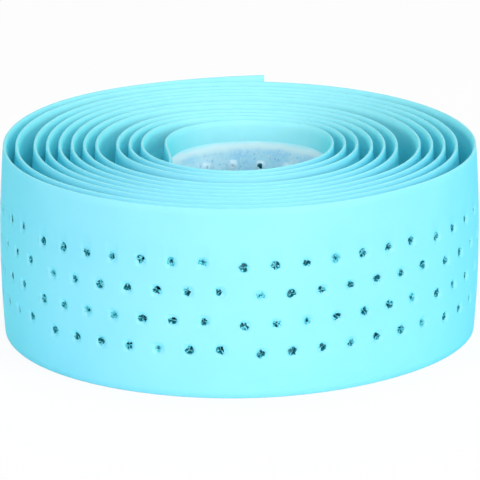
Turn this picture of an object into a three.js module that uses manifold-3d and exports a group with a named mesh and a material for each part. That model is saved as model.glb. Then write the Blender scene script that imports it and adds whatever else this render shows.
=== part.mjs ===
// A roll of perforated handlebar tape, standing on its edge as it comes out of the box.
// The tape is one strip of foam with thin edges, wound more than eleven times from a free inner end
// outward. A pale backing strip is bonded along the middle of its inner face, and a needle plate has
// stamped it through, seven by four holes at a time.
// Millimetres, +Z up. The origin is at the middle of the roll's footprint, on the resting edge.

import * as THREE from 'three';
import { mergeGeometries, mergeVertices } from 'three/addons/utils/BufferGeometryUtils.js';
import Module from 'manifold-3d';

// Tape section
const TAPE_WIDTH = 30;
const EDGE_THICKNESS = 0.35;
const OUTER_CROWN = 0.6;
const OUTER_FLAT_WIDTH = 16;
const INNER_CROWN = 0.55;

// Backing strip, bonded to the flat middle of the tape's inner face
const BACKING_WIDTH = 23.2;
const BACKING_THICKNESS = 0.12;

// Winding, counted in turns from the inner end outward
const TURNS = 11.378;
const SLACK = 0.33;
const INNER_END_DIRECTION = 220.5;
const STATIONS_PER_TURN = 34;

// Rim radius of the innermost full turn, and its shares at every eighth of a turn from the inner end's
// direction on: front left, left, back left, back, back right, right, front right, front
const CORE_RADIUS = 16.6;
const CORE_SHAPE = [0.955, 0.922, 0.985, 0.985, 1.033, 1, 1.03, 1.1];

// The free inner end stands off the turn behind it, by shares of its gap at each eighth of a turn from
// the tip, and its last stretch springs straight until the tip comes up to that turn
const FREE_END_GAP = 1.75;
const FREE_END_SHAPE = [1.24, 1, 0.97, 0.34];
const FREE_END_STRAIGHT = 0.0964;

// Stretches where the winding has slipped loose, in turns from the inner end
const LOOSE_GAP = 1.3;
const LOOSE_STRETCHES = [
  { from: 2.66, to: 3.45, fade: 0.12, share: 1 },
  { from: 5.26, to: 5.7, fade: 0.08, share: 1.23 },
  { from: 8.9, to: 9.7, fade: 0.08, share: 0.7 },
];

// The outer end is cut square and springs away from the roll
const TAIL_FLARE = 2.4;
const TAIL_FLARE_ANGLE = 32;

// Needle stamp: columns run along the tape, rows across it, and every other row is set half a pitch on
const STAMP_COLUMNS = 7;
const STAMP_ROWS = 4;
const HOLE_PITCH = 4.8;
const ROW_SPACING = 4.6;
const STAMP_PERIOD = 34.9;
const STAMP_TILT = 1.4;
const STAMP_MIDDLE_HEIGHT = 14.5;
const FIRST_STAMP_FROM_TAIL = 20;
const HOLE_DIAMETER = 1.3;
const HOLE_SIDES = 5;
const HOLE_EDGE_MARGIN = 1;
const PIERCED_TURNS = 1;

// Derived sizes
const CENTRE_THICKNESS = EDGE_THICKNESS + OUTER_CROWN + INNER_CROWN;
const TURN_PITCH = CENTRE_THICKNESS + BACKING_THICKNESS + SLACK;
const STEPS_PER_LAP = CORE_SHAPE.length;
const BACK_FACE = -EDGE_THICKNESS / 2 - INNER_CROWN;

function looseness(turns) {
  let sum = 0;
  for (const { from, to, fade, share } of LOOSE_STRETCHES) {
    const opened = THREE.MathUtils.smoothstep(turns, from - fade, from + fade);
    const closed = THREE.MathUtils.smoothstep(turns, to - fade, to + fade);
    sum += share * (opened - closed);
  }
  return sum * LOOSE_GAP;
}

// Rim radius at every eighth of a turn: the free inner end, the innermost full turn, and then each
// turn laid on the one before it
function rimRadii() {
  const radii = [];
  for (let i = 0; i < STEPS_PER_LAP; i++) {
    const core = CORE_RADIUS * CORE_SHAPE[i];
    radii[i] = core - TURN_PITCH - FREE_END_GAP * (FREE_END_SHAPE[i] ?? 0);
    radii[i + STEPS_PER_LAP] = core;
  }
  const last = Math.ceil(TURNS * STEPS_PER_LAP) + 2;
  for (let i = radii.length; i <= last; i++) {
    const turnBelow = (i - STEPS_PER_LAP) / STEPS_PER_LAP;
    radii[i] = radii[i - STEPS_PER_LAP] + TURN_PITCH + looseness(turnBelow);
  }
  return radii;
}

const RIM_RADII = rimRadii();

function rimRadius(turns) {
  if (turns < FREE_END_STRAIGHT) {
    const turned = 2 * Math.PI * (FREE_END_STRAIGHT - turns);
    return rimRadius(FREE_END_STRAIGHT) / Math.cos(turned);
  }
  const at = turns * STEPS_PER_LAP;
  const i = Math.min(Math.max(Math.floor(at), 0), RIM_RADII.length - 2);
  const t = at - i;
  const a = RIM_RADII[i];
  const b = RIM_RADII[i + 1];
  const before = RIM_RADII[i - 1] ?? a;
  const after = RIM_RADII[i + 2] ?? b;
  const slopeA = (b - before) / 2;
  const slopeB = (after - a) / 2;
  const smooth = t * t * (3 - 2 * t);
  const flareStart = TURNS - TAIL_FLARE_ANGLE / 360;
  const flare = Math.max(turns - flareStart, 0) / (TURNS - flareStart);
  return a + (b - a) * smooth
    + slopeA * t * (1 - t) ** 2
    - slopeB * t * t * (1 - t)
    + TAIL_FLARE * flare ** 2;
}

// Middle of the tape's thickness at the rim, seen from above: the winding runs clockwise outward
function rimPoint(turns) {
  const angle = THREE.MathUtils.degToRad(INNER_END_DIRECTION - 360 * turns);
  return new THREE.Vector2(Math.cos(angle), Math.sin(angle)).multiplyScalar(rimRadius(turns));
}

function outwardNormal(turns) {
  const reach = 0.5 / STATIONS_PER_TURN;
  const along = rimPoint(turns + reach).sub(rimPoint(turns - reach)).normalize();
  return new THREE.Vector2(-along.y, along.x);
}

function windingStations() {
  const count = Math.ceil(TURNS * STATIONS_PER_TURN);
  const stations = [];
  for (let i = 0; i <= count; i++) {
    const turns = TURNS * i / count;
    stations.push({ turns, point: rimPoint(turns), normal: outwardNormal(turns) });
  }
  return stations;
}

const STATIONS = windingStations();

// Lens-shaped section: x is the distance outward from the middle of the rim, y the height
function tapeSection() {
  const middle = TAPE_WIDTH / 2;
  const face = EDGE_THICKNESS / 2;
  return [
    new THREE.Vector2(face, 0),
    new THREE.Vector2(face + OUTER_CROWN, middle - OUTER_FLAT_WIDTH / 2),
    new THREE.Vector2(face + OUTER_CROWN, middle + OUTER_FLAT_WIDTH / 2),
    new THREE.Vector2(face, TAPE_WIDTH),
    new THREE.Vector2(-face, TAPE_WIDTH),
    new THREE.Vector2(BACK_FACE, middle + BACKING_WIDTH / 2),
    new THREE.Vector2(BACK_FACE, middle - BACKING_WIDTH / 2),
    new THREE.Vector2(-face, 0),
  ];
}

function backingSection() {
  const low = (TAPE_WIDTH - BACKING_WIDTH) / 2;
  const high = low + BACKING_WIDTH;
  return [
    new THREE.Vector2(BACK_FACE, low),
    new THREE.Vector2(BACK_FACE, high),
    new THREE.Vector2(BACK_FACE - BACKING_THICKNESS, high),
    new THREE.Vector2(BACK_FACE - BACKING_THICKNESS, low),
  ];
}

// Sweeps an upright closed section along the winding and caps both ends
function windSection(section) {
  const ring = section.length;
  const positions = [];
  for (const { point, normal } of STATIONS) {
    for (const corner of section) {
      positions.push(point.x + normal.x * corner.x, point.y + normal.y * corner.x, corner.y);
    }
  }
  const index = [];
  for (let s = 0; s < STATIONS.length - 1; s++) {
    for (let c = 0; c < ring; c++) {
      const a = s * ring + c;
      const b = s * ring + (c + 1) % ring;
      index.push(a, b, a + ring);
      index.push(b, b + ring, a + ring);
    }
  }
  const lastRing = (STATIONS.length - 1) * ring;
  for (const [a, b, c] of THREE.ShapeUtils.triangulateShape(section, [])) {
    index.push(a, c, b);
    index.push(lastRing + a, lastRing + b, lastRing + c);
  }
  const geometry = new THREE.BufferGeometry();
  geometry.setAttribute('position', new THREE.Float32BufferAttribute(positions, 3));
  geometry.setIndex(index);
  return geometry;
}

// Distance along the tape from its outer end, for each station
function distancesFromTail() {
  const distances = new Array(STATIONS.length).fill(0);
  for (let i = STATIONS.length - 2; i >= 0; i--) {
    distances[i] = distances[i + 1] + STATIONS[i].point.distanceTo(STATIONS[i + 1].point);
  }
  return distances;
}

// Every hole of the stamps on the outermost turns, as distance from the tail and height
function stampedHoles(length) {
  const holes = [];
  const slope = Math.tan(THREE.MathUtils.degToRad(STAMP_TILT));
  const span = (STAMP_COLUMNS - 0.5) * HOLE_PITCH;
  const start = FIRST_STAMP_FROM_TAIL - Math.ceil(FIRST_STAMP_FROM_TAIL / STAMP_PERIOD) * STAMP_PERIOD;
  for (let stamp = start; stamp < length; stamp += STAMP_PERIOD) {
    for (let row = 0; row < STAMP_ROWS; row++) {
      for (let column = 0; column < STAMP_COLUMNS; column++) {
        const along = (column + (row % 2) / 2) * HOLE_PITCH;
        const height = STAMP_MIDDLE_HEIGHT
          + ((STAMP_ROWS - 1) / 2 - row) * ROW_SPACING
          + (along - span / 2) * slope;
        const distance = stamp + along;
        if (distance > HOLE_DIAMETER + HOLE_EDGE_MARGIN && distance < length) {
          holes.push({ distance, height });
        }
      }
    }
  }
  return holes;
}

// One needle through the tape's wall, square to the flat of the winding that it meets
function needle(hole, distances) {
  let i = STATIONS.length - 2;
  while (i > 0 && distances[i] < hole.distance) {
    i--;
  }
  const inner = STATIONS[i].point;
  const outer = STATIONS[i + 1].point;
  const t = (distances[i] - hole.distance) / (distances[i] - distances[i + 1]);
  const centre = inner.clone().lerp(outer, t);
  const along = outer.clone().sub(inner).normalize();
  const outward = new THREE.Vector3(-along.y, along.x, 0);
  const past = (BACKING_THICKNESS + SLACK) / 2;
  const length = CENTRE_THICKNESS + 2 * past;
  const middle = BACK_FACE - past + length / 2;
  const up = new THREE.Vector3(0, 0, 1);
  const radius = HOLE_DIAMETER / 2;
  const geometry = new THREE.CylinderGeometry(radius, radius, length, HOLE_SIDES);
  const place = new THREE.Matrix4().makeBasis(new THREE.Vector3(along.x, along.y, 0), outward, up);
  place.setPosition(centre.x + outward.x * middle, centre.y + outward.y * middle, hole.height);
  geometry.applyMatrix4(place);
  geometry.deleteAttribute('normal');
  geometry.deleteAttribute('uv');
  return mergeVertices(geometry);
}

const wasm = await Module();
wasm.setup();

function toSolid(geometry) {
  return new wasm.Manifold(new wasm.Mesh({
    numProp: 3,
    vertProperties: new Float32Array(geometry.getAttribute('position').array),
    triVerts: new Uint32Array(geometry.getIndex().array),
  }));
}

function toGeometry(solid) {
  const { vertProperties, triVerts } = solid.getMesh();
  const geometry = new THREE.BufferGeometry();
  geometry.setAttribute('position', new THREE.BufferAttribute(vertProperties, 3));
  geometry.setIndex(new THREE.BufferAttribute(triVerts, 1));
  return geometry;
}

function perforatedTape() {
  const distances = distancesFromTail();
  const firstPierced = STATIONS.findIndex(({ turns }) => turns >= TURNS - PIERCED_TURNS);
  const holes = stampedHoles(distances[firstPierced]);
  const needles = mergeGeometries(holes.map((hole) => needle(hole, distances)));
  return toGeometry(toSolid(windSection(tapeSection())).subtract(toSolid(needles)));
}

function meshOf(name, geometry, color, roughness) {
  geometry.computeVertexNormals();
  const material = new THREE.MeshStandardMaterial({ color, roughness, metalness: 0 });
  const mesh = new THREE.Mesh(geometry, material);
  mesh.name = name;
  return mesh;
}

const tape = meshOf('tape', perforatedTape(), '#92effb', 0.6);
const backing = meshOf('backing_strip', windSection(backingSection()), '#b4e3f8', 0.5);

const group = new THREE.Group();
group.add(tape, backing);

// Sets the middle of the footprint over the origin
const footprint = new THREE.Box3().setFromObject(group).getCenter(new THREE.Vector3());
group.position.set(-footprint.x, -footprint.y, 0);

export default group;
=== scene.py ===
"""A roll of perforated foam handlebar tape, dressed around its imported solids.

The tape is a smooth polyurethane skin on foam, 30 mm wide with thin edges, wound from a free inner
end outward. A needle plate has stamped it through, and a pale crinkled adhesive film runs along the
middle of its inner face. Lengths are millimetres in the tables and functions below, and metres in
the finished meshes.
"""

import math
import random

import bpy
import numpy as np
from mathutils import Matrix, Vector, noise


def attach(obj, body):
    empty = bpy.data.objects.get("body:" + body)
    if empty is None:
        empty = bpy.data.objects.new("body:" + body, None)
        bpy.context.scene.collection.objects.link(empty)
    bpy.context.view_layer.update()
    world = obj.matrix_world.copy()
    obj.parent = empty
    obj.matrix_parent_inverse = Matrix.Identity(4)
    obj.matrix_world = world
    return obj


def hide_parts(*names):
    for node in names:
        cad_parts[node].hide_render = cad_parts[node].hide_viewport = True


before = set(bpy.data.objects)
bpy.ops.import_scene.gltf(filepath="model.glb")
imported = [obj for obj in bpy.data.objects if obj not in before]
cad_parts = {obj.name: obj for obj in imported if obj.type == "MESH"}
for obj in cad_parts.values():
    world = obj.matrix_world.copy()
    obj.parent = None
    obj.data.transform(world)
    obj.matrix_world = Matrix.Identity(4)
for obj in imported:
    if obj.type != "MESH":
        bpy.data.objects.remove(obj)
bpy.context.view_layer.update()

bl_info = {
    "name": "Handlebar Tape Roll",
    "version": (1, 0, 0),
    "blender": (4, 5, 0),
    "location": "View3D > Sidebar > Tape Roll",
    "description": "Builds a wound roll of perforated foam handlebar tape",
    "category": "Add Mesh",
}

MM = 0.001
BODY = "root"

# Winding, in turns from the inner end outward, with the same shares as the solids. The core's shape
# is a share of its radius at each eighth of a turn, and the free end stands in from it by a share of
# the free end's gap. A loose stretch has a start, an end, how far it fades at both, and its share of
# the loose gap.
CORE_SHAPE = (0.955, 0.922, 0.985, 0.985, 1.033, 1, 1.03, 1.1)
FREE_END_SHAPE = (1.24, 1, 0.97, 0.34, 0, 0, 0, 0)
FREE_END_STRAIGHT = 0.0964
LOOSE_STRETCHES = (
    (2.66, 3.45, 0.12, 1),
    (5.26, 5.7, 0.08, 1.23),
    (8.9, 9.7, 0.08, 0.7),
)
INNER_END_DIRECTION = 220.5
TAIL_FLARE_ANGLE = 32
SOLID_STATIONS_PER_TURN = 34

# Needle stamp, in millimetres and degrees: stamps follow each other at a period from the outer end
# inward, drift up and draw together on the way, and leave the end itself bare. Each is tilted, and
# its lean fades out towards the square ends.
STAMP_COLUMNS = 7
STAMP_ROWS = 4
HOLE_PITCH = 4.8
ROW_SPACING = 4.6
STAMP_PERIOD = 34.88
STAMP_TILT = 1.4
STAMP_DRIFT = 1.65
STAMP_TIGHTENING = 0.36
STAMP_MIDDLE_HEIGHT = 14.3
FIRST_STAMP_FROM_TAIL = 19.75
END_MARGIN = 2.3
LEAN_FADE = 12

# How the tape is meshed: tiles of half a hole pitch by half a row spacing, finer on the lengths that
# show at the outer turn and the core, and rows at these shares of the way from a rim to the tiles
TILE_LENGTH = HOLE_PITCH / 2
TILE_HEIGHT = ROW_SPACING / 2
TILES_PER_STAMP = 2 * STAMP_COLUMNS
TILE_ROWS = 2 * STAMP_ROWS - 1
OUTER_TURN_SHOWN = 246.0
CORE_WALL_SHOWN = 205.0
END_CLEARANCE = 0.3
RIM_CHAMFER = 0.12
SIDE_ROW_SHARES = (0, 0.16, 0.4, 0.7)
FILM_LOW_SHARES = (0, 0.5)
FILM_HIGH_SHARES = (0.25, 0.5, 0.8, 1)
FILM_ROW_SPLIT = 2
OUTER_HOLE_POINTS = 24
CORE_HOLE_POINTS = 12
HIDDEN_HOLE_POINTS = 6
BURR_POINTS = 16

# Needle holes: a dimple, as rings of a radius and a depth, with a ragged tear in it. The throat and
# the cavity behind it have a share of the tear's radius and a depth.
DIMPLE = ((1.12, 0), (0.95, 0.07), (0.78, 0.19))
TEAR_DEPTH = 0.29
LARGEST_TEAR = 0.74
THROAT_OPEN = (0.85, 0.65)
THROAT_CLOSED = (0.45, 0.5)
CAVITY = (0.8, 1.05)
EXIT_SHARE = 0.85
CLOSED_HOLES = 0.2
CLOSED_BURRS = 0.6
CLOSED_BURR_SHARE = 0.25
HOLE_SEED = 7
BURR_SEED = 13

# Film: its wrinkles in the core, and how thin it is pressed over the last of its upper edge
WRINKLE_HEIGHT = 0.16
FILM_EDGE_SHARE = 0.1
FILM_EDGE_TAPER = 1.5

# Torn foam tongues in the holes
TONGUE_BUNCHES = 6
TONGUE_DEPTH = 0.2
TONGUE_SEED = 23

# Stage: the point aimed at lies this far behind the roll's axis, and the floor is this much plain
# white to the camera, the rest of it taking the roll's shadow
AIM_BEHIND_AXIS = 0.5
FLOOR_WHITE = 0.9


def smoothstep(x, low, high):
    """0 below low, 1 above high and an S-curve between."""
    t = np.clip((x - low) / (high - low), 0, 1)
    return t * t * (3 - 2 * t)


class Winding:
    """The path of the tape seen from above, in millimetres, measured from its outer end inward."""

    SAMPLES = 16000

    def __init__(self, sizes):
        self.turns = sizes.turns
        self.width = sizes.width / MM
        self.half_edge = sizes.edge_thickness / MM / 2
        self.outer_crown = sizes.outer_crown / MM
        self.inner_crown = sizes.inner_crown / MM
        self.film_width = sizes.film_width / MM
        self.film_thickness = sizes.film_thickness / MM
        self.hole_radius = sizes.hole_diameter / MM / 2
        self.slack = sizes.slack / MM
        self.pitch = (2 * self.half_edge + self.outer_crown + self.inner_crown
                      + self.film_thickness + self.slack)
        self.loose_gap = sizes.loose_gap / MM
        self.tail_flare = sizes.tail_flare / MM
        self.radii = self._rim_radii(sizes.core_radius / MM, sizes.free_end_gap / MM)
        self.origin = self._footprint_middle()
        self._tabulate()

    def _rim_radii(self, core_radius, free_end_gap):
        """Radii of the rim at even shares of a turn, each turn laid on the one before it."""
        lap = len(CORE_SHAPE)
        core = [core_radius * share for share in CORE_SHAPE]
        radii = [c - self.pitch - free_end_gap * share for c, share in zip(core, FREE_END_SHAPE)]
        radii += core
        for i in range(2 * lap, math.ceil(self.turns * lap) + 3):
            below = (i - lap) / lap
            radii.append(radii[i - lap] + self.pitch + self._looseness(below))
        return np.array(radii)

    def _looseness(self, turns):
        """Air added where a stretch has slipped loose."""
        total = 0.0
        for start, end, fade, share in LOOSE_STRETCHES:
            opened = smoothstep(turns, start - fade, start + fade)
            closed = smoothstep(turns, end - fade, end + fade)
            total += share * (opened - closed)
        return total * self.loose_gap

    def rim_radius(self, turns):
        """Radius of the wound tape, and of the straight free end where it comes before that."""
        wound = self._wound_radius(np.maximum(turns, FREE_END_STRAIGHT))
        turned = 2 * math.pi * np.maximum(FREE_END_STRAIGHT - turns, 0)
        return wound / np.cos(np.minimum(turned, 1.4))

    def _wound_radius(self, turns):
        """Radius on a smooth curve through the rim radii, sprung outward at the tail."""
        at = turns * len(CORE_SHAPE)
        last = len(self.radii) - 2
        i = np.clip(np.floor(at).astype(int), 0, last)
        t = at - i
        a = self.radii[i]
        b = self.radii[i + 1]
        slope_a = (b - self.radii[np.maximum(i - 1, 0)]) / 2
        slope_b = (self.radii[np.minimum(i + 2, last + 1)] - a) / 2
        flare_start = self.turns - TAIL_FLARE_ANGLE / 360
        flare = np.maximum(turns - flare_start, 0) / (self.turns - flare_start)
        return (a + (b - a) * t * t * (3 - 2 * t)
                + slope_a * t * (1 - t) ** 2
                - slope_b * t * t * (1 - t)
                + self.tail_flare * flare ** 2)

    def rim_point(self, turns):
        """Place of the rim's middle, from the axis of the winding."""
        angle = np.radians(INNER_END_DIRECTION - 360 * np.asarray(turns))
        radius = self.rim_radius(turns)
        return np.stack([radius * np.cos(angle), radius * np.sin(angle)], -1)

    def outward(self, turns, reach):
        """Direction square to the chord of the rim that reaches this far to either side."""
        along = self.rim_point(turns + reach) - self.rim_point(turns - reach)
        along /= np.linalg.norm(along, axis=-1, keepdims=True)
        return np.stack([-along[..., 1], along[..., 0]], -1)

    def _footprint_middle(self):
        """Middle of the solids' footprint, so that the roll stands where they do."""
        count = math.ceil(self.turns * SOLID_STATIONS_PER_TURN)
        turns = np.linspace(0, self.turns, count + 1)
        lift = self.half_edge + self.outer_crown
        face = self.rim_point(turns) + lift * self.outward(turns, 0.5 / SOLID_STATIONS_PER_TURN)
        return (face.min(0) + face.max(0)) / 2

    def _tabulate(self):
        """Tables of the rim's middle line against the distance from the outer end."""
        turns = np.linspace(self.turns, 0, self.SAMPLES)
        points = self.rim_point(turns)
        steps = np.linalg.norm(np.diff(points, axis=0), axis=1)
        self.table_s = np.concatenate([[0], np.cumsum(steps)])
        self.table_turns = turns
        self.table_points = points - self.origin
        self.table_outward = self.outward(turns, 0.002)
        self.length = self.table_s[-1]

    def at(self, s):
        """Point and outward normal of the rim's middle line at distances s from the outer end."""
        point = [np.interp(s, self.table_s, self.table_points[:, k]) for k in (0, 1)]
        normal = [np.interp(s, self.table_s, self.table_outward[:, k]) for k in (0, 1)]
        return point, normal

    def place(self, s, z, lift):
        """Where points lie that stand lift off the middle of the wall, in metres. The stamp is set
        askew as one plate, so between the square ends its columns lean as much as its rows do."""
        leaning = smoothstep(np.minimum(s, self.length - s), 0, LEAN_FADE)
        lean = math.tan(math.radians(STAMP_TILT)) * leaning
        s = s - lean * (z - STAMP_MIDDLE_HEIGHT)
        point, normal = self.at(s)
        return np.stack([point[0] + normal[0] * lift, point[1] + normal[1] * lift, z], -1) * MM

    def outer_face(self, z):
        """Lift of the crowned outer face at a height."""
        across = (z - self.width / 2) / (self.width / 2)
        return self.half_edge + self.outer_crown * (1 - across * across)

    def inner_face(self, z):
        """Lift of the inner face, which is flat under the film and curves out to the rims."""
        margin = (self.width - self.film_width) / 2
        across = np.clip(1 - np.minimum(z, self.width - z) / margin, 0, 1)
        return -self.half_edge - self.inner_crown * (1 - across * across)

    def clearance(self, s):
        """Free room between the film and the next turn in, and plenty in the open core."""
        turns = np.interp(s, self.table_s, self.table_turns)
        inward = self.rim_radius(turns) - self.rim_radius(turns - 1)
        return float(np.where(turns < 1, 5.0, inward - self.pitch + self.slack))


class Pattern:
    """The stamped pattern laid out along the tape: its mesh lines and its holes."""

    def __init__(self, length, splits):
        self.length = length
        self.lines = []
        self.blocks = []
        start = FIRST_STAMP_FROM_TAIL - STAMP_PERIOD
        self._line(0, start)
        while start < length:
            last = start
            self._stamp(start, splits(start))
            start += STAMP_PERIOD - STAMP_TIGHTENING * max(start, 0) / length
        self._line(length, last)

    def _stamp(self, start, split):
        """The mesh lines and holes of one stamp, each tile of which is split in so many."""
        for tile in range(TILES_PER_STAMP):
            first = None
            for part in range(split):
                s = start + (tile - 0.5 + part / split) * TILE_LENGTH
                line = self._try_line(s, start)
                first = line if part == 0 else first
            if first is not None and s + TILE_LENGTH / split < self.length - END_CLEARANCE:
                self._holes(start + tile * TILE_LENGTH, start, tile, first, split)
        self._try_line(start + (TILES_PER_STAMP - 0.5) * TILE_LENGTH, start)

    def _rise(self, s, start):
        """Height of the pattern over its usual place: each stamp is askew, and all drift slowly up."""
        half_span = (TILES_PER_STAMP - 1) / 2 * TILE_LENGTH
        askew = (s - start - half_span) * math.tan(math.radians(STAMP_TILT))
        return askew + STAMP_DRIFT * (s / self.length) ** 2

    def _line(self, s, start):
        self.lines.append((s, self._rise(s, start)))
        return len(self.lines) - 1

    def _try_line(self, s, start):
        if s < END_CLEARANCE or s > self.length - END_CLEARANCE:
            return None
        return self._line(s, start)

    def _holes(self, s, start, tile, first, split):
        """Holes in every second row, which the neighbouring tiles' holes lie between."""
        if s < END_MARGIN:
            return
        for row in range(tile % 2, STAMP_ROWS, 2):
            above = ((STAMP_ROWS - 1) / 2 - row) * ROW_SPACING
            z = STAMP_MIDDLE_HEIGHT + above + self._rise(s, start)
            self.blocks.append((s, z, first, split, TILE_ROWS - 1 - 2 * row))


def row_heights(tilt, low, high, low_shares, high_shares, split):
    """Heights of the mesh rows at a line: shared out below and above the tiles, even within them."""
    bottom = STAMP_MIDDLE_HEIGHT - TILE_ROWS / 2 * TILE_HEIGHT + tilt
    top = bottom + TILE_ROWS * TILE_HEIGHT
    rows = [low + share * (bottom - low) for share in low_shares]
    rows += [bottom + i * TILE_HEIGHT / split for i in range(TILE_ROWS * split)]
    rows += [top + share * (high - top) for share in high_shares]
    return rows


class Sheet:
    """A mesh in tape coordinates: distance from the outer end, height, and lift off the wall."""

    def __init__(self):
        self.points = []
        self.faces = []
        self.finishes = []

    def point(self, s, z, lift):
        self.points.append((s, z, lift))
        return len(self.points) - 1

    def face(self, corners, finish, flip=False):
        self.faces.append(corners[::-1] if flip else corners)
        self.finishes.append(finish)

    def ring(self, s, z, radii, surface, depth=0):
        """A loop of points round a place, so deep under a surface that gives the lift at a height."""
        loop = []
        for i, radius in enumerate(radii):
            angle = 2 * math.pi * (i + 0.5) / len(radii)
            at_z = z + radius * math.sin(angle)
            loop.append(self.point(s + radius * math.cos(angle), at_z, surface(at_z) - depth))
        return loop

    def join_rings(self, outer, inner, finish, flip):
        """Quads from a loop to one with as many points inside it."""
        count = len(outer)
        for i in range(count):
            j = (i + 1) % count
            self.face((outer[i], outer[j], inner[j], inner[i]), finish, flip)

    def bridge(self, s, z, border, ring, finish, flip):
        """Triangles from a tile's border to the ring inside it, both taken round by angle."""
        def angle(index):
            at_s, at_z, _ = self.points[index]
            return math.atan2(at_z - z, at_s - s) % (2 * math.pi)

        def angle_after(loop, i):
            return angle(loop[(i + 1) % len(loop)]) + 2 * math.pi * ((i + 1) // len(loop))

        outer = sorted(border, key=angle)
        inner = sorted(ring, key=angle)
        i = j = 0
        while i < len(outer) or j < len(inner):
            a = outer[i % len(outer)]
            c = inner[j % len(inner)]
            outer_is_next = angle_after(outer, i) <= angle_after(inner, j)
            if j >= len(inner) or (i < len(outer) and outer_is_next):
                i += 1
                b = outer[i % len(outer)]
            else:
                j += 1
                b = inner[j % len(inner)]
            self.face((a, b, c), finish, flip)

    def sink(self, s, z, border, rings, surface, flip):
        """Rings of radii, depth and finish let into a surface inside a border; gives the last one."""
        before = None
        for radii, depth, finish in rings:
            ring = self.ring(s, z, radii, surface, depth)
            if before is None:
                self.bridge(s, z, border, ring, finish, flip)
            else:
                self.join_rings(before, ring, finish, flip)
            before = ring
        return before

    def to_object(self, name, winding, materials, crease_angle):
        s, z, lift = np.array(self.points).T
        mesh = bpy.data.meshes.new(name)
        mesh.from_pydata(winding.place(s, z, lift).tolist(), [], self.faces)
        for material in materials:
            mesh.materials.append(material)
        mesh.polygons.foreach_set("material_index", self.finishes)
        mesh.polygons.foreach_set("use_smooth", [True] * len(self.faces))
        corners = np.empty(len(mesh.loops), dtype=int)
        mesh.loops.foreach_get("vertex_index", corners)
        along = mesh.uv_layers.new(name="along_tape")
        along.data.foreach_set("uv", (np.stack([s, z], -1)[corners] * MM).ravel())
        mesh.validate()
        mesh.update()
        mesh.set_sharp_from_angle(angle=math.radians(crease_angle))
        return link(bpy.data.objects.new(name, mesh))


def link(piece):
    """Puts an object in the scene."""
    bpy.context.scene.collection.objects.link(piece)
    return piece


def block_border(columns, first, split, low, rows):
    """The points round a block of tiles, in order."""
    border = [columns[i][low] for i in range(first, first + split)]
    border += [columns[first + split][j] for j in range(low, low + rows)]
    border += [columns[i][low + rows] for i in range(first + split, first, -1)]
    border += [columns[first][j] for j in range(low + rows, low, -1)]
    return border


def jagged(radius, count, roughness, dice):
    """Radii of a torn hole: an oval with a few lobes and a ragged edge, inside its dimple."""
    waves = [(k, roughness * dice.uniform(0.3, 1) / k ** 0.4, dice.uniform(0, 2 * math.pi))
             for k in (1, 2, 3, 5, 8)]
    angles = [2 * math.pi * (i + 0.5) / count for i in range(count)]
    shares = [1 + sum(size * math.sin(k * a + phase) for k, size, phase in waves) for a in angles]
    return [min(max(radius * share, 0.3 * radius), LARGEST_TEAR) for share in shares]


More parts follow.
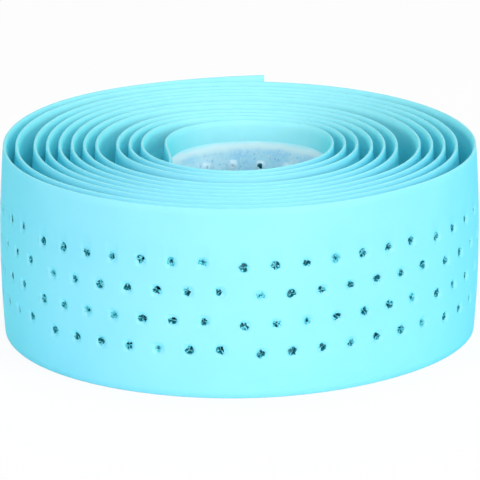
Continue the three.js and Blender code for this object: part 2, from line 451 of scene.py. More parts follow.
def wound_tape(winding, materials):
    """The tape itself: both faces, thin rims, square ends and the needle holes."""
    skin, cut, torn, foam, tongue = range(5)
    inner_detail = winding.length - CORE_WALL_SHOWN
    pattern = Pattern(winding.length, lambda s: 2 if s < OUTER_TURN_SHOWN or s > inner_detail else 1)
    sheet = Sheet()
    outer = []
    inner = []
    loops = []
    top = winding.width
    edge = winding.half_edge - RIM_CHAMFER
    high_shares = [1 - share for share in reversed(SIDE_ROW_SHARES)]
    for s, tilt in pattern.lines:
        heights = row_heights(tilt, RIM_CHAMFER, top - RIM_CHAMFER, SIDE_ROW_SHARES, high_shares, 1)
        front = [sheet.point(s, z, winding.outer_face(z)) for z in heights]
        back = [sheet.point(s, z, winding.inner_face(z)) for z in heights]
        upper_rim = [sheet.point(s, top, edge), sheet.point(s, top, -edge)]
        lower_rim = [sheet.point(s, 0, -edge), sheet.point(s, 0, edge)]
        outer.append(front)
        inner.append(back)
        loops.append(front + upper_rim + back[::-1] + lower_rim)

    rows = len(outer[0])
    base = len(SIDE_ROW_SHARES)
    pierced = {(i, base + row) for _, _, first, split, row in pattern.blocks
               for i in range(first, first + split)}
    around = len(loops[0])
    for i in range(len(loops) - 1):
        for c in range(around):
            on_front = c < rows - 1
            on_back = rows + 2 <= c < 2 * rows + 1
            row = c if on_front else 2 * rows - c
            if (on_front or on_back) and (i, row) in pierced:
                continue
            d = (c + 1) % around
            finish = skin if on_front else foam if on_back else cut
            sheet.face((loops[i][c], loops[i + 1][c], loops[i + 1][d], loops[i][d]), finish)

    for line, flip in ((0, False), (len(loops) - 1, True)):
        loop = loops[line]
        strip = [(loop[-2], loop[-1]), *zip(inner[line], outer[line]), (loop[rows + 1], loop[rows])]
        for (back_low, front_low), (back_high, front_high) in zip(strip, strip[1:]):
            sheet.face((back_low, front_low, front_high, back_high), cut, flip)

    dice = random.Random(HOLE_SEED)
    for s, z, first, split, row in pattern.blocks:
        shown = s < OUTER_TURN_SHOWN
        in_core = s > inner_detail
        count = OUTER_HOLE_POINTS if shown else CORE_HOLE_POINTS if in_core else HIDDEN_HOLE_POINTS
        ragged = 0.24 if shown else 0.08
        tear = jagged(winding.hole_radius * dice.uniform(0.74, 1.06), count, ragged, dice)
        rings = [(tear, 0, skin)]
        if shown:
            # Now and then the foam has closed up again behind the needle
            closed = dice.random() < CLOSED_HOLES
            narrow, depth = THROAT_CLOSED if closed else THROAT_OPEN
            wide, bottom = CAVITY
            rings = [([radius] * count, sunk, skin) for radius, sunk in DIMPLE]
            # The throat, cavity and way out take the torn foam, whose dark tones are partly painted
            # shade of the hole's depth
            rings += [
                (tear, TEAR_DEPTH, skin),
                ([narrow * x for x in tear], depth, tongue if closed else torn),
                ([wide * x for x in tear[1:] + tear[:1]], bottom, torn),
            ]
        front_border = block_border(outer, first, split, base + row, 1)
        back_border = block_border(inner, first, split, base + row, 1)
        last = sheet.sink(s, z, front_border, rings, winding.outer_face, False)
        exit_ring = sheet.ring(s, z, [EXIT_SHARE * x for x in tear], winding.inner_face)
        sheet.join_rings(last, exit_ring, torn, False)
        sheet.bridge(s, z, back_border, exit_ring, foam, True)
    return sheet.to_object("tape_winding", winding, materials, 50), pattern


def crinkle(s, z):
    """Height of the film's wrinkles at a place on it, from 0 to 1."""
    warp = noise.noise(Vector((s * 0.35, z * 0.35, 3.0)))
    ridge = 1 - abs(noise.noise(Vector((s * 0.75 + warp, z * 0.9 - warp, 0.0)))) * 2
    fine = 1 - abs(noise.noise(Vector((s * 1.9, z * 1.7 + warp, 8.0)))) * 2
    return max(0.0, 0.65 * ridge + 0.35 * fine)


def backing_film(winding, materials):
    """The crinkled adhesive film on the inner face, lifted into burrs where needles came through."""
    film, burr = range(2)
    low = (winding.width - winding.film_width) / 2
    high = low + winding.film_width
    inner_detail = winding.length - CORE_WALL_SHOWN
    pattern = Pattern(winding.length, lambda s: 4 if s > inner_detail else 1)
    sheet = Sheet()
    bonded = []
    free = []

    def free_face(z):
        return winding.inner_face(z) - winding.film_thickness

    def free_lift(s, z):
        """Lift of the free face, which is pressed out thin toward the film's upper edge."""
        full = min(1.0, FILM_EDGE_SHARE + (high - z) / FILM_EDGE_TAPER)
        thickness = winding.film_thickness * full
        lift = winding.inner_face(z) - thickness
        if s > inner_detail - 2:
            margin = min(z - low, high - z, 1.0)
            lift -= min(WRINKLE_HEIGHT, 0.5 * winding.clearance(s)) * margin * crinkle(s, z)
        return lift

    for s, tilt in pattern.lines:
        heights = row_heights(tilt, low, high, FILM_LOW_SHARES, FILM_HIGH_SHARES, FILM_ROW_SPLIT)
        bonded.append([sheet.point(s, z, winding.inner_face(z)) for z in heights])
        free.append([sheet.point(s, z, free_lift(s, z)) for z in heights])

    base = len(FILM_LOW_SHARES)
    pierced = {(i, base + row * FILM_ROW_SPLIT + part) for _, _, first, split, row in pattern.blocks
               for i in range(first, first + split) for part in range(FILM_ROW_SPLIT)}
    rows = len(bonded[0])
    for i in range(len(bonded) - 1):
        for j in range(rows - 1):
            if (i, j) in pierced:
                continue
            sheet.face((bonded[i][j], bonded[i + 1][j], bonded[i + 1][j + 1], bonded[i][j + 1]), film)
            sheet.face((free[i][j], free[i][j + 1], free[i + 1][j + 1], free[i + 1][j]), film)
        sheet.face((free[i][0], free[i + 1][0], bonded[i + 1][0], bonded[i][0]), film)
        sheet.face((bonded[i][-1], bonded[i + 1][-1], free[i + 1][-1], free[i][-1]), film)
    for j in range(rows - 1):
        sheet.face((free[0][j], bonded[0][j], bonded[0][j + 1], free[0][j + 1]), film)
        sheet.face((bonded[-1][j], free[-1][j], free[-1][j + 1], bonded[-1][j + 1]), film)

    dice = random.Random(BURR_SEED)
    for s, z, first, split, row in pattern.blocks:
        shown = s > inner_detail
        count = BURR_POINTS if shown else HIDDEN_HOLE_POINTS
        tear = jagged(dice.uniform(0.3, 0.46), count, 0.22 if shown else 0.05, dice)
        # Most burrs have closed again behind the needle; the rest are open to the dark hole
        if shown and dice.random() < CLOSED_BURRS:
            tear = [CLOSED_BURR_SHARE * x for x in tear]
        height = min(dice.uniform(0.3, 0.55), 0.6 * max(winding.clearance(s), 0.1))
        rings = [(tear, 0, film)]
        if shown:
            # From the film's face up to the burr's torn lip
            rings = [
                ([1.05] * count, 0.02, film),
                ([0.85] * count, 0.35 * height, burr),
                ([0.62] * count, 0.85 * height, burr),
                ([x + 0.08 for x in tear], height, burr),
                (tear, 0.8 * height, burr),
            ]
        rows_from = base + row * FILM_ROW_SPLIT
        bonded_border = block_border(bonded, first, split, rows_from, FILM_ROW_SPLIT)
        free_border = block_border(free, first, split, rows_from, FILM_ROW_SPLIT)
        last = sheet.sink(s, z, free_border, rings, free_face, True)
        entry = sheet.ring(s, z, [1.1 * x for x in tear], winding.inner_face)
        sheet.join_rings(last, entry, burr, True)
        sheet.bridge(s, z, bonded_border, entry, film, False)
    return sheet.to_object("backing_film", winding, materials, 60)


def linear(text):
    """Linear colour of an sRGB hex value."""
    channels = [int(text[i:i + 2], 16) / 255 for i in (1, 3, 5)]
    curved = [c / 12.92 if c <= 0.04045 else ((c + 0.055) / 1.055) ** 2.4 for c in channels]
    return (*curved, 1)


def add(tree, kind, settings=None, inputs=None):
    """Adds a node, sets its settings, and sets or links its inputs."""
    node = tree.nodes.new(kind)
    for name, value in (settings or {}).items():
        setattr(node, name, value)
    for key, value in (inputs or {}).items():
        if isinstance(value, bpy.types.NodeSocket):
            tree.links.new(value, node.inputs[key])
        else:
            node.inputs[key].default_value = value
    return node


def new_material(name, constants):
    """A material with a Principled shader whose unvarying values sit on its own sockets."""
    material = bpy.data.materials.new(name)
    material.use_nodes = True
    tree = material.node_tree
    tree.nodes.clear()
    shader = add(tree, "ShaderNodeBsdfPrincipled", inputs=constants)
    add(tree, "ShaderNodeOutputMaterial", inputs={"Surface": shader.outputs["BSDF"]})
    return material, tree, shader


def tape_coordinates(tree, stretch=(1, 1, 1)):
    """Distance along the tape and height, in metres, stretched along either."""
    uv = add(tree, "ShaderNodeUVMap", {"uv_map": "along_tape"})
    return add(tree, "ShaderNodeMapping",
               inputs={"Vector": uv.outputs["UV"], "Scale": stretch}).outputs["Vector"]


def mottle(tree, vector, size, stops, settings):
    """Soft patches of about this many millimetres, as a share and as a colour between the stops."""
    patches = add(tree, "ShaderNodeTexNoise", inputs={
        "Vector": vector, "Scale": 1 / (size * MM), **settings}).outputs["Fac"]
    ramp = add(tree, "ShaderNodeValToRGB", inputs={"Fac": patches})
    elements = ramp.color_ramp.elements
    while len(elements) < len(stops):
        elements.new(0.5)
    for element, (position, colour) in zip(elements, stops):
        element.position = position
        element.color = linear(colour)
    return patches, ramp.outputs["Color"]


def emboss(tree, shader, layers):
    """Lays relief on a shader, layer over layer: each a height, a strength and a depth in mm."""
    normal = None
    for height, strength, depth in layers:
        bump = add(tree, "ShaderNodeBump", inputs={
            "Height": height, "Strength": strength, "Distance": depth * MM})
        if normal:
            tree.links.new(normal, bump.inputs["Normal"])
        normal = bump.outputs["Normal"]
    tree.links.new(normal, shader.inputs["Normal"])


def smooth_skin(colours):
    """Polyurethane skin, calendered smooth with a faint leather grain. The coat is its clear tinted
    layer, which deepens the colour where it is seen or lit at a slant."""
    material, tree, shader = new_material("polyurethane_skin_calendered", {
        "IOR": 1.5, "Specular IOR Level": 0.4, "Coat Weight": 1.0, "Coat IOR": 1.08,
        "Coat Roughness": 0.5, "Coat Tint": linear(colours.skin_tint)})
    uv = tape_coordinates(tree)
    _, colour = mottle(tree, uv, 9, ((0.3, colours.skin_shade), (0.7, colours.skin)),
                       {"Detail": 3.0, "Roughness": 0.55})
    tree.links.new(colour, shader.inputs["Base Color"])
    # Grain of about 0.6 mm, with drawn-out marks across and along the tape from the rollers
    grain = add(tree, "ShaderNodeTexVoronoi", {"feature": "SMOOTH_F1"}, {
        "Vector": uv, "Scale": 1 / (0.6 * MM), "Smoothness": 0.6})
    fine = add(tree, "ShaderNodeTexNoise", inputs={
        "Vector": uv, "Scale": 1 / (0.25 * MM), "Detail": 2.0})
    marks = add(tree, "ShaderNodeTexNoise", inputs={
        "Vector": tape_coordinates(tree, (1.0, 0.16, 1.0)), "Scale": 1 / (1.6 * MM), "Detail": 3.0})
    ripples = add(tree, "ShaderNodeTexNoise", inputs={
        "Vector": tape_coordinates(tree, (0.25, 1.0, 1.0)), "Scale": 1 / (4 * MM), "Detail": 2.0})
    emboss(tree, shader, (
        (ripples.outputs["Fac"], 0.35, 0.16),
        (marks.outputs["Fac"], 0.12, 0.05),
        (grain.outputs["Distance"], 0.2, 0.03),
        (fine.outputs["Fac"], 0.25, 0.015)))
    gloss = add(tree, "ShaderNodeMapRange", inputs={
        "Value": fine.outputs["Fac"], "To Min": 0.52, "To Max": 0.66})
    tree.links.new(gloss.outputs["Result"], shader.inputs["Roughness"])
    return material


def inner_foam(colours):
    """Foam of the inner face, pressed flat and paler than the skin, tinted deeper at a slant."""
    material, tree, shader = new_material("foam_inner_face_pressed", {
        "Specular IOR Level": 0.15, "Roughness": 0.8, "Coat Weight": 1.0, "Coat IOR": 1.08,
        "Coat Roughness": 0.7, "Coat Tint": linear(colours.skin_tint)})
    uv = tape_coordinates(tree)
    _, colour = mottle(tree, uv, 5, ((0.3, colours.foam_shade), (0.7, colours.foam)), {"Detail": 3.0})
    tree.links.new(colour, shader.inputs["Base Color"])
    # Pressed cells of about 0.5 mm, and wrinkles where the foam is squeezed on the inside of the bend
    cells = add(tree, "ShaderNodeTexNoise", inputs={
        "Vector": uv, "Scale": 1 / (0.5 * MM), "Detail": 3.0, "Roughness": 0.6})
    wrinkles = add(tree, "ShaderNodeTexNoise", inputs={
        "Vector": tape_coordinates(tree, (1.0, 0.4, 1.0)), "Scale": 1 / (2.2 * MM), "Detail": 3.0,
        "Distortion": 0.5})
    emboss(tree, shader, (
        (cells.outputs["Fac"], 0.3, 0.05),
        (wrinkles.outputs["Fac"], 0.3, 0.15)))
    return material


def cut_foam_edge(colours):
    """Slit edge of the foam: closed cells cut open, so it is quite matt and fine-grained."""
    material, tree, shader = new_material("foam_edge_slit", {
        "Specular IOR Level": 0.2, "Roughness": 0.8})
    _, colour = mottle(tree, tape_coordinates(tree), 2.5,
                       ((0.3, colours.edge_shade), (0.7, colours.edge)), {"Detail": 2.0})
    tree.links.new(colour, shader.inputs["Base Color"])
    # Cells of about 0.2 mm; the position is used because the edge has no width in tape coordinates
    place = add(tree, "ShaderNodeTexCoord").outputs["Object"]
    cells = add(tree, "ShaderNodeTexVoronoi", inputs={"Vector": place, "Scale": 1 / (0.2 * MM)})
    emboss(tree, shader, ((cells.outputs["Distance"], 0.35, 0.03),))
    return material


def torn_foam(name, light, dark):
    """Foam torn by the needles: crumbly and unskinned, in the two tones it is given. For the walls of
    the needle holes these are dark, partly the foam's own deep colour and partly painted shade of the
    holes' depth.
    """
    material, tree, shader = new_material(name, {"Specular IOR Level": 0.1, "Roughness": 0.95})
    # Crumbs of about 0.35 mm
    place = add(tree, "ShaderNodeTexCoord").outputs["Object"]
    crumbs, colour = mottle(tree, place, 0.35, ((0.35, dark), (0.65, light)), {"Detail": 3.0})
    tree.links.new(colour, shader.inputs["Base Color"])
    emboss(tree, shader, ((crumbs, 0.7, 0.12),))
    return material


def crinkled_film(colours, name, pale, length):
    """Adhesive film on foam: lavender and full of small wrinkles where it is open to the air, and as
    clear as the foam behind it where it is pressed between the turns. Over a burr it is one pale
    tone."""
    material, tree, shader = new_material(name, {
        "IOR": 1.45, "Specular IOR Level": 0.5, "Coat IOR": 1.08, "Coat Roughness": 0.7,
        "Coat Tint": linear(colours.skin_tint)})
    uv = tape_coordinates(tree)
    along, height = add(tree, "ShaderNodeSeparateXYZ", inputs={"Vector": uv}).outputs[:2]
    creases = add(tree, "ShaderNodeTexNoise", {"noise_type": "RIDGED_MULTIFRACTAL"}, {
        "Vector": uv, "Scale": 1 / (3.2 * MM), "Detail": 4.0, "Roughness": 0.6, "Distortion": 0.6})
    tones = (pale,) * 3 if pale else (colours.film_shade, colours.film, colours.film_light)
    cloud, colour = mottle(tree, uv, 6, tuple(zip((0.32, 0.5, 0.68), tones)),
                           {"Detail": 3.0, "Distortion": 0.4})
    # Dark specks of about half a millimetre are crumbs in the adhesive; the pale ones are painted
    # glints off its crinkles
    specks = add(tree, "ShaderNodeTexNoise", inputs={
        "Vector": uv, "Scale": 1 / (0.6 * MM), "Detail": 2.0, "Roughness": 0.6})
    # The upper margin is whiter, and fades into the foam at its edge
    wander = add(tree, "ShaderNodeMath", {"operation": "MULTIPLY_ADD"}, {
        0: cloud, 1: 1.6 * MM, 2: height})
    for value, low, high, beyond in (
            (specks.outputs["Fac"], 0.55, 0.72, colours.film_painted_glint),
            (specks.outputs["Fac"], 0.42, 0.28, colours.film_crumb),
            (wander.outputs["Value"], 25.5 * MM, 26.5 * MM, colours.film_margin),
            (wander.outputs["Value"], 26.7 * MM, 27.4 * MM, colours.film_clear),
            (along, (length - 104) * MM, (length - 108) * MM, colours.film_clear)):
        share = add(tree, "ShaderNodeMapRange", {"interpolation_type": "SMOOTHSTEP"}, {
            "Value": value, "From Min": low, "From Max": high})
        colour = add(tree, "ShaderNodeMix", {"data_type": "RGBA"}, {
            0: share.outputs["Result"], 6: colour, 7: linear(beyond)}).outputs[2]
    tree.links.new(colour, shader.inputs["Base Color"])
    # The tinted layer of the foam counts only where the film is clear
    tree.links.new(share.outputs["Result"], shader.inputs["Coat Weight"])
    emboss(tree, shader, ((creases.outputs["Fac"], 0.5, 0.1), (cloud, 0.4, 0.3)))
    gloss = add(tree, "ShaderNodeMapRange", inputs={
        "Value": creases.outputs["Fac"], "To Min": 0.28, "To Max": 0.5})
    tree.links.new(gloss.outputs["Result"], shader.inputs["Roughness"])
    return material


def flap_meshes(radius):
    """A few different bunches of torn foam tongues, each a bent wedge that hangs from a hole's wall
    toward its middle."""
    dice = random.Random(TONGUE_SEED)
    collection = bpy.data.collections.new("torn_tongues")
    for number in range(TONGUE_BUNCHES):
        points = []
        faces = []
        for _ in range(dice.choice((3, 4, 5))):
            turn = dice.uniform(0, 2 * math.pi)
            spread = dice.uniform(0.2, 0.6)
            reach = dice.uniform(0.3, 1.0) * radius
            drop = dice.uniform(0.1, 0.4)
            thick = dice.uniform(0.08, 0.15)
            root = 1.1 * radius
            spine = (
                (root, 0.0, spread),
                (0.55 * root, -0.35 * drop, 0.75 * spread),
                (root - reach - 0.1, -drop, 0.3 * spread),
            )
            start = len(points)
            for across, height, width in spine:
                for side, down in ((-1, 0), (1, 0), (1, 1), (-1, 1)):
                    aside = side * root * width * 0.45
                    x = across * math.cos(turn) - aside * math.sin(turn)
                    y = across * math.sin(turn) + aside * math.cos(turn)
                    wave = 0.02 * math.sin(turn + side * width * 0.5)
                    z = height - down * thick + dice.uniform(-0.03, 0.03) + wave
                    points.append((x * MM, y * MM, z * MM))
            for ring in (start, start + 4):
                for k in range(4):
                    n = (k + 1) % 4
                    faces.append((ring + k, ring + n, ring + 4 + n, ring + 4 + k))
            faces.append((start + 3, start + 2, start + 1, start))
            faces.append((start + 8, start + 9, start + 10, start + 11))
        mesh = bpy.data.meshes.new(f"tongues_{number}")
        mesh.from_pydata(points, [], faces)
        mesh.update()
        collection.objects.link(bpy.data.objects.new(f"tongues_{number}", mesh))
    return collection


def scatter_tree():
    """Sets one bunch of tongues on each point, turned at random about the way out of its hole."""
    tree = bpy.data.node_groups.new("needle_hole_tongues", "GeometryNodeTree")
    sockets = tree.interface
    sockets.new_socket("Geometry", in_out="INPUT", socket_type="NodeSocketGeometry")
    sockets.new_socket("Tongues", in_out="INPUT", socket_type="NodeSocketCollection")
    sockets.new_socket("Smallest", in_out="INPUT", socket_type="NodeSocketFloat").default_value = 0.8
    sockets.new_socket("Largest", in_out="INPUT", socket_type="NodeSocketFloat").default_value = 1.1
    sockets.new_socket("Seed", in_out="INPUT", socket_type="NodeSocketInt").default_value = 5
    sockets.new_socket("Material", in_out="INPUT", socket_type="NodeSocketMaterial")
    sockets.new_socket("Geometry", in_out="OUTPUT", socket_type="NodeSocketGeometry")
    given = add(tree, "NodeGroupInput").outputs
    bunches = add(tree, "GeometryNodeCollectionInfo", inputs={
        "Collection": given["Tongues"], "Separate Children": True, "Reset Children": True})
    outward = add(tree, "GeometryNodeInputNamedAttribute", {"data_type": "FLOAT_VECTOR"},
                  {"Name": "outward"})
    aim = add(tree, "FunctionNodeAlignRotationToVector", {"axis": "Z"},
              {"Vector": outward.outputs["Attribute"]})
    spin = add(tree, "FunctionNodeRandomValue", {"data_type": "FLOAT"},
               {2: 0.0, 3: 2 * math.pi, "Seed": given["Seed"]})
    turn = add(tree, "FunctionNodeAxisAngleToRotation",
               inputs={"Axis": (0, 0, 1), "Angle": spin.outputs[1]})
    turned = add(tree, "FunctionNodeRotateRotation", {"rotation_space": "LOCAL"}, {
        "Rotation": aim.outputs["Rotation"], "Rotate By": turn.outputs["Rotation"]})
    size = add(tree, "FunctionNodeRandomValue", {"data_type": "FLOAT"},
               {2: given["Smallest"], 3: given["Largest"], "Seed": given["Seed"]})
    pick = add(tree, "FunctionNodeRandomValue", {"data_type": "INT"},
               {4: 0, 5: TONGUE_BUNCHES - 1, "Seed": given["Seed"]})
    placed = add(tree, "GeometryNodeInstanceOnPoints", inputs={
        "Points": given["Geometry"], "Instance": bunches.outputs["Instances"],
        "Pick Instance": True, "Instance Index": pick.outputs[2],
        "Rotation": turned.outputs["Rotation"], "Scale": size.outputs[1]})
    real = add(tree, "GeometryNodeRealizeInstances", inputs={"Geometry": placed.outputs["Instances"]})
    finished = add(tree, "GeometryNodeSetMaterial", inputs={
        "Geometry": real.outputs["Geometry"], "Material": given["Material"]})
    add(tree, "NodeGroupOutput", inputs={"Geometry": finished.outputs["Geometry"]})
    return tree


def torn_tongues(winding, pattern, material):
    """Torn foam left in the holes of the outermost turn."""
    holes = [(s, z) for s, z, *_ in pattern.blocks if s < OUTER_TURN_SHOWN]
    s, z = np.array(holes).T
    lift = winding.outer_face(z) - TONGUE_DEPTH
    _, (out_x, out_y) = winding.at(s)
    mesh = bpy.data.meshes.new("hole_points")
    mesh.from_pydata(winding.place(s, z, lift).tolist(), [], [])
    outward = mesh.attributes.new("outward", "FLOAT_VECTOR", "POINT")
    outward.data.foreach_set("vector", np.stack([out_x, out_y, 0 * s], -1).ravel())
    points = link(bpy.data.objects.new("torn_foam", mesh))
    tree = scatter_tree()
    modifier = points.modifiers.new("Tongues", "NODES")
    modifier.node_group = tree
    names = {item.name: item.identifier for item in tree.interface.items_tree
             if item.item_type == "SOCKET" and item.in_out == "INPUT"}
    modifier[names["Tongues"]] = flap_meshes(winding.hole_radius)
    modifier[names["Material"]] = material
    depsgraph = bpy.context.evaluated_depsgraph_get()
    plain = bpy.data.meshes.new_from_object(points.evaluated_get(depsgraph))
    points.modifiers.remove(modifier)
    points.data = plain
    plain.name = "torn_foam"
    return points


def length_property(name, description, default):
    """A size in metres that a user may change."""
    return bpy.props.FloatProperty(
        name=name, description=description, default=default, min=0.0, unit="LENGTH", precision=5)


def colour_property(name, description, default):
    """A colour that a user may change, as sRGB hex."""
    return bpy.props.StringProperty(name=name, description=description, default=default)


class TapeSizes(bpy.types.PropertyGroup):
    """Sizes of the tape and its winding."""

    width: length_property("Width", "Width of the tape, and height of the roll", 0.030)
    edge_thickness: length_property("Edge thickness", "Thickness of the thin rims", 0.00035)
    outer_crown: length_property("Outer crown", "Rise of the outer face over its rims", 0.0006)
    inner_crown: length_property("Inner crown", "Rise of the inner face over its rims", 0.00055)
    film_width: length_property("Film width", "Width of the backing film", 0.0232)
    film_thickness: length_property("Film thickness", "Thickness of the backing film", 0.00012)
    hole_diameter: length_property("Hole diameter", "Diameter of a needle hole", 0.0013)
    slack: length_property("Slack", "Air between one turn and the next", 0.00033)
    core_radius: length_property("Core radius", "Radius of the innermost full turn", 0.0166)
    free_end_gap: length_property("Free end gap", "How far the inner end stands off", 0.00175)
    loose_gap: length_property("Loose gap", "Air in a stretch that has slipped loose", 0.0013)
    tail_flare: length_property("Tail flare", "How far the outer end springs away", 0.0024)
    turns: bpy.props.FloatProperty(
        name="Turns", description="Turns from the inner end to the outer", default=11.378, min=2.0)


class TapeColours(bpy.types.PropertyGroup):
    """Colours of the tape, as sRGB hex values."""

    skin: colour_property("Skin", "Lighter tone under the skin's clear layer", "#B8EBFD")
    skin_shade: colour_property("Skin shade", "Darker tone under the skin's clear layer", "#B2E8FC")
    skin_tint: colour_property("Skin tint", "Tint of the skin's clear layer", "#D5FEFF")
    foam: colour_property("Foam", "Lighter tone of the inner face", "#CAF5FB")
    foam_shade: colour_property("Foam shade", "Darker tone of the inner face", "#BFF1FA")
    edge: colour_property("Edge", "Lighter tone of the slit edge", "#9CEBF4")
    edge_shade: colour_property("Edge shade", "Darker tone of the slit edge", "#90E6F1")
    # The torn foam's two tones are darker than the foam's own colour, partly as painted shade inside
    # the needle holes
    torn: colour_property("Torn foam", "Lighter tone of the torn foam", "#4CC0CA")
    torn_painted_shade: colour_property("Torn foam shade", "Darker tone of the torn foam", "#1A7C88")
    tongue: colour_property("Tongue", "Lighter tone of the stretched foam tongues", "#86E9F5")
    tongue_shade: colour_property("Tongue shade", "Darker tone of the stretched tongues", "#2FB2C2")
    film: colour_property("Film", "Middle tone of the backing film", "#BCEFFF")
    film_light: colour_property("Film light", "Lightest tone of the backing film", "#D8F6FF")
    film_shade: colour_property("Film shade", "Darkest tone of the backing film", "#A9DEFC")
    # Pale specks on the film are painted glints off its crinkles
    film_painted_glint: colour_property("Film bubble", "Pale specks in the adhesive", "#E2F6FF")
    film_crumb: colour_property("Film crumb", "Dark specks in the adhesive", "#92CCEE")
    film_margin: colour_property("Film margin", "Upper margin of the backing film", "#DCFAFE")
    film_clear: colour_property("Clear film", "Film pressed clear onto the foam", "#B8F7FE")
    film_burr: colour_property("Film burr", "Film stretched pale over a burr", "#CFEFFA")
    floor: colour_property("Floor", "Studio floor", "#F8F9FA")


class StageSettings(bpy.types.PropertyGroup):
    """Camera and lights of the studio."""

    elevation: bpy.props.FloatProperty(
        name="Elevation", description="Camera's height above the horizon",
        default=math.radians(16.5), subtype="ANGLE")
    distance: length_property("Distance", "Camera's distance from the roll", 0.800)
    lens: bpy.props.FloatProperty(
        name="Lens", description="Focal length in millimetres", default=379.2)
    shift_across: bpy.props.FloatProperty(
        name="Shift across", description="How far the frame lies right of the lens axis, in frames",
        default=0.0015, precision=4)
    shift_up: bpy.props.FloatProperty(
        name="Shift up", description="How far the frame lies above the lens axis, in frames",
        default=-0.0146, precision=4)
    floor_width: length_property("Floor width", "Width of the studio floor", 6.0)
    ambient: bpy.props.FloatProperty(
        name="Ambient", description="Strength of the light from all round", default=0.2, min=0.0)
    key_power: bpy.props.FloatProperty(
        name="Key light", description="Power of the large front light", default=6.7, unit="POWER")
    side_power: bpy.props.FloatProperty(
        name="Side lights", description="Power of the lights at left and right", default=5.5,
        unit="POWER")
    top_power: bpy.props.FloatProperty(
        name="Top light", description="Power of the light overhead", default=5.6, unit="POWER")


class TAPEROLL_OT_stage(bpy.types.Operator):
    """Makes the camera, the studio floor and the lights"""

    bl_idname = "taperoll.stage"
    bl_label = "Studio"

    def execute(self, context):
        stage = context.scene.tape_stage
        winding = Winding(context.scene.tape_sizes)
        make_camera(context.scene, stage, winding)
        make_floor(stage, context.scene.tape_colours)
        make_lights(context.scene, stage)
        return {"FINISHED"}


class TAPEROLL_OT_tape(bpy.types.Operator):
    """Winds the perforated tape and leaves torn foam in its outer holes"""

    bl_idname = "taperoll.tape"
    bl_label = "Tape"

    def execute(self, context):
        colours = context.scene.tape_colours
        winding = Winding(context.scene.tape_sizes)
        # The hole walls' torn foam is dark partly from the foam's own deep colour and partly as
        # painted shade of the holes' depth
        torn = torn_foam("foam_torn_by_needle_painted_shade", colours.torn, colours.torn_painted_shade)
        tongue = torn_foam("foam_tongue_stretched", colours.tongue, colours.tongue_shade)
        materials = (smooth_skin(colours), cut_foam_edge(colours), torn, inner_foam(colours), tongue)
        tape, pattern = wound_tape(winding, materials)
        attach(tape, BODY)
        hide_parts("tape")
        tongues = torn_tongues(winding, pattern, tongue)
        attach(tongues, BODY)
        return {"FINISHED"}


class TAPEROLL_OT_film(bpy.types.Operator):
    """Lays the crinkled backing film along the tape's inner face"""

    bl_idname = "taperoll.film"
    bl_label = "Backing film"

    def execute(self, context):
        colours = context.scene.tape_colours
        winding = Winding(context.scene.tape_sizes)
        materials = (
            crinkled_film(colours, "adhesive_film_crinkled", None, winding.length),
            crinkled_film(colours, "adhesive_film_stretched", colours.film_burr, winding.length),
        )
        film = backing_film(winding, materials)
        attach(film, BODY)
        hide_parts("backing_strip")
        return {"FINISHED"}


class TAPEROLL_PT_panel(bpy.types.Panel):
    """Lists the roll's sizes, colours and makers"""

    bl_idname = "TAPEROLL_PT_panel"
    bl_label = "Handlebar Tape Roll"
    bl_space_type = "VIEW_3D"
    bl_region_type = "UI"
    bl_category = "Tape Roll"

    def draw(self, context):
        for settings in (context.scene.tape_sizes, context.scene.tape_colours,
                         context.scene.tape_stage):
            box = self.layout.box()
            for name in settings.__annotations__:
                box.prop(settings, name)
        for maker in OPERATORS:
            self.layout.operator(maker.bl_idname)


OPERATORS = (TAPEROLL_OT_stage, TAPEROLL_OT_tape, TAPEROLL_OT_film)
SETTINGS = {"tape_sizes": TapeSizes, "tape_colours": TapeColours, "tape_stage": StageSettings}


def make_camera(scene, stage, winding):
    """Camera at the photograph's angle: the picture's middle lies a little off the lens axis."""
    camera = bpy.data.cameras.new("camera")
    camera.lens = stage.lens
    camera.sensor_width = 36
    camera.shift_x = stage.shift_across
    camera.shift_y = stage.shift_up
    camera.clip_start = 0.05
    camera.clip_end = 50
    seat = link(bpy.data.objects.new("camera", camera))
    axis_x, axis_y = -winding.origin
    target = Vector((axis_x, axis_y + AIM_BEHIND_AXIS, winding.width / 2)) * MM
    back = Vector((0, -math.cos(stage.elevation), math.sin(stage.elevation)))
    seat.location = target + stage.distance * back
    seat.rotation_euler = (math.pi / 2 - stage.elevation, 0, 0)
    scene.camera = seat
    scene.view_settings.view_transform = "Standard"


def make_floor(stage, colours):
    """A pale floor that fades to white for the camera and still takes the roll's shadow."""
    half = stage.floor_width / 2
    mesh = bpy.data.meshes.new("floor")
    mesh.from_pydata([(-half, -half, 0), (half, -half, 0), (half, half, 0), (-half, half, 0)], [],
                     [(0, 1, 2, 3)])
    floor = link(bpy.data.objects.new("floor", mesh))
    material = bpy.data.materials.new("studio_floor_matt")
    material.use_nodes = True
    tree = material.node_tree
    tree.nodes.clear()
    matt = add(tree, "ShaderNodeBsdfDiffuse", inputs={"Color": linear(colours.floor)})
    glow = add(tree, "ShaderNodeEmission", inputs={"Color": (1, 1, 1, 1), "Strength": 1.0})
    seen = background_rays(tree)
    share = add(tree, "ShaderNodeMath", {"operation": "MULTIPLY"}, {0: seen, 1: FLOOR_WHITE})
    mix = add(tree, "ShaderNodeMixShader", inputs={
        0: share.outputs["Value"], 1: matt.outputs["BSDF"], 2: glow.outputs["Emission"]})
    add(tree, "ShaderNodeOutputMaterial", inputs={"Surface": mix.outputs["Shader"]})
    mesh.materials.append(material)


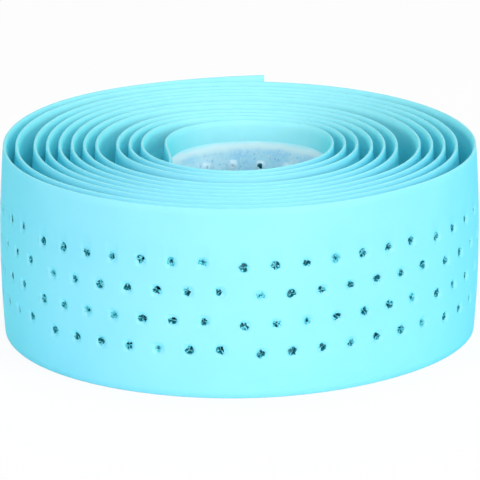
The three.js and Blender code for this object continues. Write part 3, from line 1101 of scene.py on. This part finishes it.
def background_rays(tree):
    """1 where the camera, a reflection or a refraction looks, and 0 for light on the object."""
    path = add(tree, "ShaderNodeLightPath").outputs
    glossy = add(tree, "ShaderNodeMath", {"operation": "MAXIMUM"}, {
        0: path["Is Camera Ray"], 1: path["Is Glossy Ray"]})
    every = add(tree, "ShaderNodeMath", {"operation": "MAXIMUM"}, {
        0: glossy.outputs["Value"], 1: path["Is Transmission Ray"]})
    return every.outputs["Value"]


def make_lights(scene, stage):
    """White surroundings, a broad light over the camera, two low at the sides and one overhead."""
    world = bpy.data.worlds.new("studio")
    world.use_nodes = True
    tree = world.node_tree
    tree.nodes.clear()
    strength = add(tree, "ShaderNodeMapRange", inputs={
        "Value": background_rays(tree), "To Min": stage.ambient, "To Max": 1.0})
    sky = add(tree, "ShaderNodeBackground", inputs={
        "Color": (1, 1, 1, 1), "Strength": strength.outputs["Result"]})
    add(tree, "ShaderNodeOutputWorld", inputs={"Surface": sky.outputs["Background"]})
    scene.world = world
    for name, power, size, place in (
            ("key_light", stage.key_power, 0.8, (0.3, -1.25, 0.68)),
            ("left_light", 0.82 * stage.side_power, 0.6, (-1.0, -0.7, 0.4)),
            ("right_light", stage.side_power, 0.6, (0.95, -0.75, 0.4)),
            ("top_light", stage.top_power, 0.7, (0.05, 0.05, 1.1))):
        light = bpy.data.lights.new(name, "AREA")
        light.shape = "DISK"
        light.size = size
        light.energy = power
        lamp = link(bpy.data.objects.new(name, light))
        lamp.location = place
        lamp.rotation_euler = (-Vector(place)).to_track_quat("-Z", "Y").to_euler()


def register():
    """Registers the classes and hangs the settings on the scene."""
    for group in SETTINGS.values():
        bpy.utils.register_class(group)
    for maker in OPERATORS:
        bpy.utils.register_class(maker)
    bpy.utils.register_class(TAPEROLL_PT_panel)
    for name, group in SETTINGS.items():
        setattr(bpy.types.Scene, name, bpy.props.PointerProperty(type=group))


def unregister():
    """Takes away what register added."""
    for name in SETTINGS:
        delattr(bpy.types.Scene, name)
    bpy.utils.unregister_class(TAPEROLL_PT_panel)
    for maker in reversed(OPERATORS):
        bpy.utils.unregister_class(maker)
    for group in reversed(SETTINGS.values()):
        bpy.utils.unregister_class(group)


def main():
    """Makes the stage and the roll."""
    register()
    bpy.ops.taperoll.stage()
    bpy.ops.taperoll.tape()
    bpy.ops.taperoll.film()


if __name__ == "__main__":
    main()
